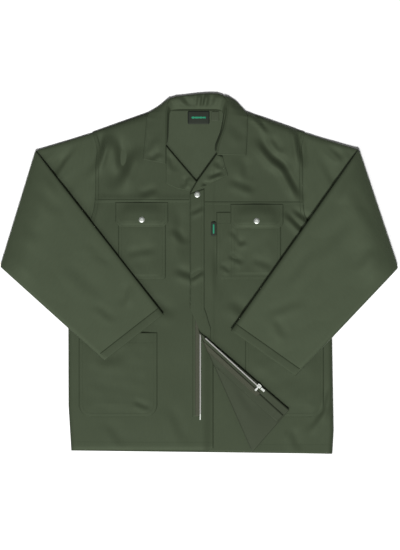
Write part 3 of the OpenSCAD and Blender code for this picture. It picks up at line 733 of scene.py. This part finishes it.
def pocket(name, side, x0, top, w, depth, r, puff, seams=(), stud=None, z_stud=0.0):
    x1, y0 = x0 + w, top - depth

    def flat(s, t):
        y = y0 + depth * t
        inset = np.where(y < y0 + r, r - np.sqrt(np.clip(r**2 - (y0 + r - y) ** 2, 0, None)), 0)
        a, b = x0 + inset, x1 - inset
        return a + (b - a) * s, y

    def place(x, y, s, t):
        base = front_z(side)(x, y)
        d = np.clip(rounded_box(x, y, x0, x1, y0, max(r, 1)), 0, None)
        swell = step(d, 5, 34)
        if stud:
            # the mouth lies flat under its flap
            swell = swell * (1 - 0.8 * step(y, top - 44, top - 10))
        for q in seams:
            swell = swell * step(np.abs(x - q), 2, 16)
        z = base + 0.6 + swell * (puff * (0.35 + 0.65 * step(y, y0 + 10, top)))
        if stud:
            near = np.exp(-((x - stud[0]) ** 2 + (y - stud[1]) ** 2) / 26**2) * step(d, 4, 20)
            z = z + (z_stud - z) * near
        z = z + waves(x, y, int(abs(x0)), [(60, 0.45), (34, 0.2)]) * swell
        if name == "chest_pocket_right":
            z = z + crease(x, y, (-172, 38), (-88, 52), 0.6, 10) * swell
        if name == "chest_pocket_left":
            z = z + (crease(x, y, (66, 95), (92, 60), 1.1, 7) + crease(x, y, (60, 40), (96, 20), 1.2, 7)
                     + crease(x, y, (44, 20), (66, 0), 1.0, 6) + crease(x, y, (80, 60), (104, 70), 0.8, 7)
                     + crease(x, y, (110, 30), (160, 10), 0.8, 9)) * step(d, 3, 12) * 0.75
        if name == "hip_pocket_right":
            z = z + (crease(x, y, (-150, -282), (-108, -300), 0.6, 7)
                     + crease(x, y, (-230, -200), (-150, -180), 0.6, 16)) * step(d, 3, 12)
        return x, y, z - 0.42 * np.exp(-(d / 2.4) ** 2)

    return cloth(name, flat, int(w / 2.6), int(depth / 2.6), place, thick=0.8)


STUD_R, STUD_L = (-128, 118.3), (124.3, 115.4)
pocket("chest_pocket_right", -1, -180, 135.5, 105, 149, 8, 2.2, stud=STUD_R, z_stud=13.0)
pocket("chest_pocket_left", 1, 36, 135.5, 142, 149, 14, 2.2, seams=(70,), stud=STUD_L, z_stud=17.0)
pocket("hip_pocket_right", -1, -266.6, -129, 173, 186, 28, 2.2)
pocket("hip_pocket_left", 1, 99, -129, 173, 186, 28, 2.2)

# ---- flaps ----


def flap(name, side, x0, top, z_rest, stud):
    w, depth, c = 116.0, 52.0, 10.0

    def flat(s, t):
        y = top + 1.5 - (depth + 1.5) * (1 - t)
        low = top - depth
        inset = np.clip(c - (y - low), 0, c) * 0.9
        a, b = x0 + inset, x0 + w - inset
        bow = 1.6 * np.sin(np.pi * s) * (1 - step(y, low, low + 25))
        return a + (b - a) * s, y - bow * 0.7

    def place(x, y, s, t):
        base = front_z(side)(x, np.minimum(y, 400))
        below = np.where(y < stud[1], 14.0, 31.0)
        near = np.exp(-((x - stud[0]) / 30) ** 2 - ((y - stud[1]) / below) ** 2)
        rise = 1 - step(y, top - 26, top + 2)
        edge = np.minimum(x - x0, x0 + w - x)
        z = base + 0.8 + (0.5 + 3.2 * step(edge, 4, 34)) * rise
        z = z - 2.2 * (1 - step(y, top - depth, top - depth + 14)) * step(edge, 4, 34)
        z = z + (z_rest + 1.0 - z) * near
        z = z + waves(x, y, int(abs(x0)) + 3, [(50, 0.45)]) * rise * (1 - near)
        return x, y, z - 0.35 * np.exp(-(np.clip(edge, 0, None) / 1.5) ** 2)

    # the flaps take a lighter copy of the twill: painted light
    return cloth(name, flat, 50, 25, place, thick=1.1, materials=(olive_yoke_painted_light, inside))


flap("flap_right", -1, -186.0, 155.4, 14.2, STUD_R)
flap("flap_left", 1, 67.0, 151.4, 18.2, STUD_L)

# ---- collar: the stand and band round the neck, and a leaf on each side ----


def table(rows):
    """Columns of a table of stations, read at a share from 0 to 1"""
    r = np.array(rows, float)
    return lambda t: [np.interp(t, r[:, 0], r[:, k]) for k in range(1, r.shape[1])]


# share, roll x, y, z, neck seam x, y, and how far the fall goes behind instead of to a leaf
STAND = table([
    (0.00, -74.3, 283, 9.0, -72.5, 290, 0), (0.05, -74.3, 300, 9.5, -70.5, 302, 0),
    (0.13, -74.4, 330, 9.7, -69.5, 331, 0), (0.20, -74.2, 355, 9.6, -68, 352, 0),
    (0.26, -72.5, 373, 9.2, -64, 359.5, 0.1), (0.31, -66.5, 384.5, 8.6, -55, 361, 0.6),
    (0.36, -52, 389, 8.0, -44, 361.5, 1), (0.43, -30, 391.2, 7.6, -28, 361.6, 1),
    (0.50, -5, 394.2, 7.8, -5, 361.6, 1), (0.57, 18, 395.8, 8.0, 17, 361.5, 1),
    (0.63, 38, 395.4, 8.2, 35, 361.3, 1), (0.67, 50, 392, 8.8, 43, 360.5, 0.7),
    (0.71, 58, 384, 10.2, 48.5, 357.5, 0.2), (0.76, 61.5, 370, 12.4, 52, 350, 0),
    (0.83, 60, 350, 13.2, 50.5, 338, 0), (0.91, 54, 320, 13.5, 45, 312, 0),
    (0.97, 40.5, 284, 13.3, 34, 284, 0), (1.00, 36.5, 266, 12.6, 33, 272, 0)])
BACK_PROFILE = table([(0, 0, 0), (0.14, 0.22, 0.30), (0.32, 0.48, 0.70), (0.5, 0.78, 0.97), (0.6, 0.93, 0.97),
                      (0.68, 1.0, 0.78), (0.74, 1.02, 0.5), (0.8, 0.99, 0.22), (0.86, 0.92, 0.03),
                      (1, 0.55, -0.08)])
SIDE_PROFILE = table([(0, 0, 0), (0.2, 0.30, 0.45), (0.4, 0.58, 0.80), (0.6, 0.84, 0.97), (0.75, 0.97, 1.0),
                      (0.86, 1.08, 0.98), (1, 1.25, 0.93)])


def stand_place(x, y, s, t):
    rx, ry, rz, sx, sy, behind = STAND(s)
    bh, bv = BACK_PROFILE(t)
    sh, sv = SIDE_PROFILE(t)
    h, v = sh + (bh - sh) * behind, sv + (bv - sv) * behind
    z = 1.5 + (rz - 1.5) * v
    px, py = sx + (rx - sx) * h, sy + (ry - sy) * h
    soft = behind * (1 - step(t, 0.55, 0.75)) * step(t, 0.0, 0.25)
    pleat = (crease(px, py, (12, 397), (6, 362), 2.0, 4.5) + crease(px, py, (-4, 397), (-7, 362), 1.2, 5)
             + crease(px, py, (-46, 392), (-20, 362), 1.3, 8) + crease(px, py, (34, 396), (26, 362), 1.0, 7))
    return px, py, z + soft * pleat


cloth("collar_stand", lambda s, t: (-74 + 210 * s, 300 + 60 * t), 130, 26, stand_place, thick=0.9, flip=True,
      materials=(inside, olive))


def leaf(name, rows, seed, thick=1.3):
    """share, roll x, y, z, outer x, y, z"""
    at = table(rows)

    def flat(s, t):
        rx, ry, rz, ox, oy, oz = at(t)
        return rx + (ox - rx) * s, ry + (oy - ry) * s

    def place(x, y, s, t):
        rx, ry, rz, ox, oy, oz = at(t)
        width = np.hypot(ox - rx, oy - ry)
        z = rz + (oz - rz) * step(s, 0.0, 1.0) + 0.5 * np.sin(np.pi * s)
        z = z - 1.5 * (1 - rounded(s * width + 0.2, 3.2)) - 0.5 * (1 - rounded((1 - s) * width + 0.1, 1.6))
        z = z + waves(x, y, seed, [(60, 0.5), (32, 0.15)]) * step(s, 0, 0.3)
        z = z + (crease(x, y, (-84, 266), (-112, 246), 0.9, 8)
                 + crease(x, y, (-96, 300), (-118, 262), 0.6, 10))
        z = z + crease(x, y, (60, 330), (96, 285), 0.5, 12)
        return x, y, z

    # the collar leaves take a lighter copy of the twill: painted light
    return cloth(name, flat, 34, 80, place, thick=thick, flip=rows[0][1] > rows[0][4],
                 materials=(olive_collar_painted_light, inside))


leaf("collar_leaf_right", [
    (0.00, -74.5, 241.0, 9.6, -125.4, 250.6, 8.9), (0.25, -74.5, 275, 9.9, -122.6, 282, 8.9),
    (0.52, -74.5, 312, 10.0, -119.6, 318, 8.9), (0.72, -74.4, 338, 10.0, -117.3, 343, 8.7),
    (0.82, -74.2, 356, 9.9, -112, 354, 6.8), (0.89, -73, 368, 9.6, -104.5, 359, 4.6),
    (0.95, -70.5, 378, 9.2, -90.5, 368.3, 4.0), (1.00, -64.5, 386, 8.8, -71.5, 383.4, 6.0)], 61)
leaf("collar_leaf_left", [
    (0.00, 36.5, 261.0, 13.2, 101.4, 259.8, 12.7), (0.20, 40.6, 284, 13.7, 102.8, 284, 12.8),
    (0.50, 54.2, 320, 13.9, 104.4, 320, 12.8), (0.72, 60.2, 350, 13.8, 105.4, 345, 12.2),
    (0.82, 61.8, 366, 13.2, 99.5, 356, 8.5), (0.90, 61.6, 375, 12.0, 90.5, 367, 5.5),
    (0.96, 59.5, 382.5, 10.8, 79.5, 379.5, 5.0), (1.00, 53, 390.5, 9.4, 63.5, 389, 6.0)], 62)


def lapel(name, rows, side, lift):
    at = table(rows)

    def flat(s, t):
        rx, ry, ox, oy = at(t)
        return rx + (ox - rx) * s, ry + (oy - ry) * s

    def place(x, y, s, t):
        rx, ry, ox, oy = at(t)
        width = np.hypot(ox - rx, oy - ry)
        if side < 0:
            base = 6.9 + waves(x, y, 3, [(150, 0.5), (70, 0.22)])
            fold = crease(x, y, (-26, 214), (-34, 186), 1.0, 7) + crease(x, y, (-74, 262), (-58, 222), 0.8, 8)
        else:
            base = left_front_z(x, y)
            fold = (crease(x, y, (52, 222), (16, 208), 1.3, 6) + crease(x, y, (2, 196), (34, 190), 1.6, 5)
                    + crease(x, y, (30, 246), (48, 226), 0.7, 7))
        z = base + lift + 0.5 * (1 - step(s * width, 2, 16)) - 1.5 * (1 - rounded(s * width + 0.2, 3))
        z = z - 0.5 * (1 - rounded((1 - s) * width + 0.1, 1.5)) + fold * step(s, 0, 0.2)
        return x, y, z

    # the lapels take a lighter copy of the twill: painted light
    return cloth(name, flat, 36, 44, place, thick=1.4, flip=side < 0, materials=(olive_yoke_painted_light, inside))


lapel("lapel_right", [(0, -8.1, 202.7, -22.4, 181.6), (0.45, -38, 238, -49.9, 186.5),
                      (1, -74.0, 281.0, -74.6, 197.6)], -1, 1.7)
lapel("lapel_left", [(0, -20, 179, -19.8, 177.6), (0.25, -7, 202, 4, 189.5), (0.55, 13, 230, 40, 206),
                     (0.8, 27, 249, 61.6, 215.9), (0.9, 32, 256, 56, 232), (1, 36, 262, 49.1, 259)], 1, 1.7)

# ---- fly, zip tapes and facings ----


def front_edge(y):
    return edge_x(FRONT_L, y)


def fly_place(x, y, s, t):
    z = left_front_z(x, y)
    past = fold_c.side(x, y)
    z = z + (11.0 + corner_noise(x, y) - z) * step(past, -25, 0)
    edge = np.minimum(s, 1 - s) * 32
    z = z + crease(x, y, (12, 146), (-24, 128), 0.8, 6) + crease(x, y, (12, 6), (-26, -18), 1.2, 7)
    return fold_c.lay(x, y, z + 0.85 - 0.35 * (1 - rounded(edge + 0.1, 1.2)))


def fly_flat(s, t):
    y = -390 + t * (176 + 390)
    width = 27 + 5 * step(y, -118, -76)
    return front_edge(y) - 0.2 + width * s, y + s * 11 * step(t, 0.9, 1)


cloth("fly", fly_flat, 12, 170, fly_place, cuts=corner_cuts, thick=0.8)


def band(name, x0, x1, y0, y1, z, thick, mats, fold=None, ny=150, soft=0.0):
    """A long strip beside the zip; past a fold it is the side that faces down on the straight front"""
    down = fold is not None

    def flat(s, t):
        return x0 + (x1 - x0) * s, y0 + (y1 - y0) * t

    def place(x, y, s, t):
        zz = z + soft * waves(x, y, 9, [(40, 1.0)]) + 0 * x
        return fold.lay(x, y, zz) if down else (x, y, zz)

    return cloth(name, flat, 6, ny, place, cuts=corner_cuts if down else (), thick=thick,
                 materials=mats, flip=down)


band("zip_tape_right", -10.4, -0.8, -313, 158, 8.78, 0.55, (tape_cloth,))
band("zip_facing_right", -16.4, -2.2, -315, 158, 8.1, 1.0, (olive,))
band("zip_tape_left", 5.45, 16.4, -318, 152, 8.2, 0.6, (tape_cloth,), fold=fold_c)
band("corner_facing", 7.2, 29.2, -388, 152, 8.88, 1.0, (inside,), fold=fold_c, soft=0.06)

# ---- labels: plain, with a green bar ----


def tag(name, x0, x1, y0, y1, z, mat, bend=0.0, thick=0.4):
    def flat(s, t):
        y = y0 + (y1 - y0) * t
        r = min(2.0, (x1 - x0) / 5)
        e = np.clip(r - np.minimum(y - y0, y1 - y), 0, r)
        inset = r - np.sqrt(np.clip(r * r - e * e, 0, None))
        return x0 + inset + (x1 - x0 - 2 * inset) * s, y

    def place(x, y, s, t):
        return x, y, z + bend * np.sin(np.pi * s) * np.sin(np.pi * t) + 0.12 * np.sin(7 * x / 10)

    return cloth(name, flat, 14, 12, place, thick=thick, materials=(mat,))


tag("neck_label", -27, 21, 329, 358, 2.1, black_cloth, 0.4)
tag("neck_label_bar", -19.5, 13, 340.5, 346.5, 2.3, green_bar, 0.35, 0.12)
tag("size_tab", 25, 42, 336, 357, 1.9, tab_cloth, 0.2)
tag("side_label", 24, 35.5, 82.5, 114.5, 12.6, black_cloth, 0.1)
tag("side_label_bar", 28.2, 31.6, 88, 109, 12.78, green_bar, 0.08, 0.12)

# ---- seams ----

strip("seam_yoke_right", [(-231, 159.5), (-150, 159.6), (-24, 159.5)], 8.4, 0.45, ["front_right"])
strip("seam_yoke_left", [(10.5, 154.9), (120, 154.8), (227, 154.6)], 7.4, 0.45, ["front_left"])
inner_r = [(x + 4.2, y) for x, y in ARM_R[3:-2]]
inner_l = [(x - 4.2, y) for x, y in ARM_L[3:-2]]
strip("seam_arm_right", inner_r, 8.2, 0.25, ["front_right"])
strip("seam_arm_left", inner_l, 8.2, 0.25, ["front_left"])


def u_line(x0, x1, top, depth, r, inset):
    y0 = top - depth + inset
    a, b, q = x0 + inset, x1 - inset, max(r - inset, 1)
    arc1 = [(a + q - q * math.cos(k), y0 + q - q * math.sin(k)) for k in np.linspace(0, math.pi / 2, 9)]
    arc2 = [(b - q + q * math.sin(k), y0 + q - q * math.cos(k)) for k in np.linspace(0, math.pi / 2, 9)]
    return [(a, top - 1)] + arc1 + arc2 + [(b, top - 1)]


stitches("stitches_front_right", [
    [(-232, 163), (-22, 163)], [(-233, 156), (-22, 156)],
    [(x - 3.0, y) for x, y in inner_r], [(x + 3.0, y) for x, y in inner_r],
    [(-282, -369.5), (-150, -370.5), (-20, -370.5), (28, -371)], [(-16, -318), (-16, -130)],
], ["front_right", "seam_yoke_right", "seam_arm_right"])
stitches("stitches_front_left", [
    [(10.5, 158), (229, 158)], [(10.5, 151.8), (228, 151.8)],
    [(x - 3.0, y) for x, y in inner_l], [(x + 3.0, y) for x, y in inner_l],
    [(122, -375.4), (288, -376)],
    [(8.6, -96), (8.6, 176)], [(2.6, -86), (2.6, 170)], [(-19.6, -74), (-19.6, 172)],
], ["front_left", "seam_yoke_left", "seam_arm_left", "fly"])
stitches("stitches_pockets", [
    u_line(-180, -75, 135.5, 149, 8, 2), u_line(-180, -75, 135.5, 149, 8, 8),
    u_line(36, 178, 135.5, 149, 14, 2), u_line(36, 178, 135.5, 149, 14, 8),
    [(69, 134), (69, -8)], [(75, 134), (75, -8)], [(37, 110), (69, 110)],
    u_line(-266.6, -93.6, -129, 186, 28, 2), u_line(-266.6, -93.6, -129, 186, 28, 8),
    [(-264, -152), (-96, -152)],
    u_line(99, 272, -129, 186, 28, 2), u_line(99, 272, -129, 186, 28, 8), [(101, -152), (270, -152)],
], ["chest_pocket_right", "chest_pocket_left", "hip_pocket_right", "hip_pocket_left"])


def flap_rows(x0, top, inset):
    w, d, c = 116, 52, 10
    a, b, low = x0 + inset, x0 + w - inset, top - d + inset
    return [(a, top - 6), (a, low + c), (a + c, low), (b - c, low), (b, low + c), (b, top - 6)]


stitches("stitches_flap_right", [flap_rows(-186, 155.4, 2.2), flap_rows(-186, 155.4, 8)], ["flap_right"])
stitches("stitches_flap_left", [flap_rows(67, 151.4, 2.2), flap_rows(67, 151.4, 8)], ["flap_left"])
stitches("stitches_leaf_left", [[(43, 264), (98, 262.6), (101.5, 320), (102.4, 340)]], ["collar_leaf_left"])
stitches("stitches_leaf_right", [[(-80, 245), (-121.5, 254), (-116.8, 318), (-114.6, 340)]],
         ["collar_leaf_right"])
stitches("stitches_lapels",
         [[(-24, 184.5), (-49.4, 189.5), (-71, 198.5)], [(2, 192), (57.5, 217.5), (53, 232), (46, 256)]],
         ["lapel_right", "lapel_left"])


def cuff_rows(side, fold, inset):
    (ax, ay), (bx, by) = cuff_ends(side)
    ux, uy = -side * math.cos(SLOPE), math.sin(SLOPE)
    ends = []
    for x, y in ((ax, ay), (bx, by)):
        px, py, _ = fold.lay(np.array([x + ux * inset]), np.array([y + uy * inset]), np.array([5.0]))
        ends.append((float(px[0]), float(py[0])))
    (ax, ay), (bx, by) = ends
    k = 2.5 / math.hypot(bx - ax, by - ay)
    return [(ax + (bx - ax) * k, ay + (by - ay) * k), (bx - (bx - ax) * k, by - (by - ay) * k)]


strip("cuff_hem_right", cuff_rows(-1, fold_r, 10), 19, 0.35, ["sleeve_right"])
strip("cuff_hem_left", cuff_rows(1, fold_l, 10), 19, 0.35, ["sleeve_left"])
stitches("stitches_cuff_right", [cuff_rows(-1, fold_r, 18.3)], ["sleeve_right", "cuff_hem_right"])
stitches("stitches_cuff_left", [cuff_rows(1, fold_l, 18.3)], ["sleeve_left", "cuff_hem_left"])


def on_corner(points):
    out = []
    for x, y in points:
        px, py, _ = fold_c.lay(np.array([float(x)]), np.array([float(y)]), np.array([10.6]))
        out.append((float(px[0]), float(py[0])))
    return out


stitches("stitches_corner", [on_corner([(-5, -372), (98, -374)]), on_corner([(26.5, -372), (26.5, -200)]),
                             on_corner([(14.5, -316), (14.5, -175)])],
         ["corner_facing", "zip_tape_left", "front_left"], lift=0.0)
stitches("stitches_neck", [[(-60, 358.6), (48, 358.6)], [(-62, 365), (46, 365)]], ["back", "collar_stand"])

# ---- what rides on which body; the pieces listed in BENDS are only baked in place ----


def blend(name, other, start, end):
    ob = PIECES[name]
    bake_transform(ob)


CORNER = ((0, -118, 12.9), (-0.0296, -118.0148, 16.6))
BENDS = {
    "front_left": ("front_corner", *CORNER), "fly": ("front_corner", *CORNER),
    "zip_tape_left": ("front_corner", *CORNER), "corner_facing": ("front_corner", *CORNER),
    "sleeve_right": ("forearm_right", (0, 0, BEND_R[0]), (0, 0, BEND_R[1])),
    "sleeve_left": ("forearm_left", (0, 0, BEND_L[0]), (0, 0, BEND_L[1])),
    "flap_right": ("flap_right", (0, 160, 0), (0, 151, 0)),
    "stitches_flap_right": ("flap_right", (0, 160, 0), (0, 151, 0)),
    "flap_left": ("flap_left", (0, 156, 0), (0, 147, 0)),
    "stitches_flap_left": ("flap_left", (0, 156, 0), (0, 147, 0)),
    "collar_leaf_right": ("collar_right", (-73, 374, 0), (-93, 344, 0)),
    "stitches_leaf_right": ("collar_right", (-73, 374, 0), (-93, 344, 0)),
    "collar_leaf_left": ("collar_left", (61, 374, 0), (83, 346, 0)),
    "stitches_leaf_left": ("collar_left", (61, 374, 0), (83, 346, 0)),
}
RIDES = {"cuff_hem_right": "forearm_right", "stitches_cuff_right": "forearm_right",
         "cuff_hem_left": "forearm_left", "stitches_cuff_left": "forearm_left",
         "stitches_corner": "front_corner"}
for name, ob in PIECES.items():
    if name in BENDS:
        blend(name, *BENDS[name])
    else:
        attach(ob, RIDES.get(name, "jacket"))

REPLACES = {
    "back": ["back_panel", "back_yoke"], "front_right": ["front_panel_right", "front_yoke_right"],
    "front_left": ["front_panel_left", "front_yoke_left", "front_corner"],
    "sleeve_right": ["sleeve_upper_right", "forearm_right"], "cuff_hem_right": ["cuff_hem_right"],
    "sleeve_left": ["sleeve_upper_left", "forearm_left"], "cuff_hem_left": ["cuff_hem_left"],
    "chest_pocket_right": ["chest_pocket_right"], "chest_pocket_left": ["chest_pocket_left"],
    "hip_pocket_right": ["hip_pocket_right"], "hip_pocket_left": ["hip_pocket_left"],
    "flap_right": ["flap_right", "flap_base_right"], "flap_left": ["flap_left", "flap_base_left"],
    "collar_leaf_right": ["collar_leaf_right"], "collar_leaf_left": ["collar_leaf_left"],
    "collar_stand": ["collar_stand", "collar_fall", "collar_interlining"],
    "lapel_right": ["lapel_right"], "lapel_left": ["lapel_left"],
    "fly": ["fly_placket", "fly_placket_lower"], "zip_tape_right": ["zip_tape_right"],
    "zip_facing_right": ["zip_facing_right"], "zip_tape_left": ["zip_tape_left_upper", "zip_tape_left_lower"],
    "corner_facing": ["zip_facing_left", "corner_facing"], "neck_label": ["neck_label"],
    "size_tab": ["size_tab"], "side_label": ["side_label"],
}
for name, nodes in REPLACES.items():
    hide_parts(*nodes)

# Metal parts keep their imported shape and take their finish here
for name, ob in frame["nodes"].items():
    if ob.hide_render:
        continue
    bright = "stud" in name or name in ("zip_pin", "zip_box", "zip_slider", "zip_pull")
    mat = nickel if bright else zinc
    if not ob.material_slots:
        ob.data.materials.append(mat)
    for sl in ob.material_slots:
        sl.material = mat

# ---- floor, light and camera ----

bpy.ops.mesh.primitive_plane_add(size=6, location=(0, 0, -0.0008))
floor = bpy.context.object
floor.name = "floor"
pale = bpy.data.materials.new("pale_floor")
pale.use_nodes = True
pale.node_tree.nodes["Principled BSDF"].inputs["Base Color"].default_value = (0.98, 0.98, 0.98, 1)
pale.node_tree.nodes["Principled BSDF"].inputs["Roughness"].default_value = 0.95
floor.data.materials.append(pale)


def area_light(name, place, energy, size, size_y):
    data = bpy.data.lights.new(name, "AREA")
    data.shape = "RECTANGLE"
    data.energy, data.size, data.size_y = energy, size, size_y
    ob = bpy.data.objects.new(name, data)
    bpy.context.scene.collection.objects.link(ob)
    ob.location = place
    ob.rotation_mode = "QUATERNION"
    ob.rotation_quaternion = Vector(place).to_track_quat("Z", "Y")
    return ob


area_light("key", (0.2, -4.6, 8.6), 960, 1.7, 1.7)
area_light("side", (-5.2, -8.0, 9.2), 600, 5.0, 5.0)
world = bpy.data.worlds.new("studio")
bpy.context.scene.world = world
world.use_nodes = True
world.node_tree.nodes["Background"].inputs["Color"].default_value = (1, 1, 1, 1)
world.node_tree.nodes["Background"].inputs["Strength"].default_value = 0.17
bpy.context.scene.view_settings.view_transform = "Standard"

cam_data = bpy.data.cameras.new("camera")
cam_data.lens, cam_data.sensor_width = 200, 36
cam_data.clip_end = 60
cam = bpy.data.objects.new("camera", cam_data)
bpy.context.scene.collection.objects.link(cam)
cam.location = (0, -0.0028, 0.605 / (18 / 200))
bpy.context.scene.camera = cam
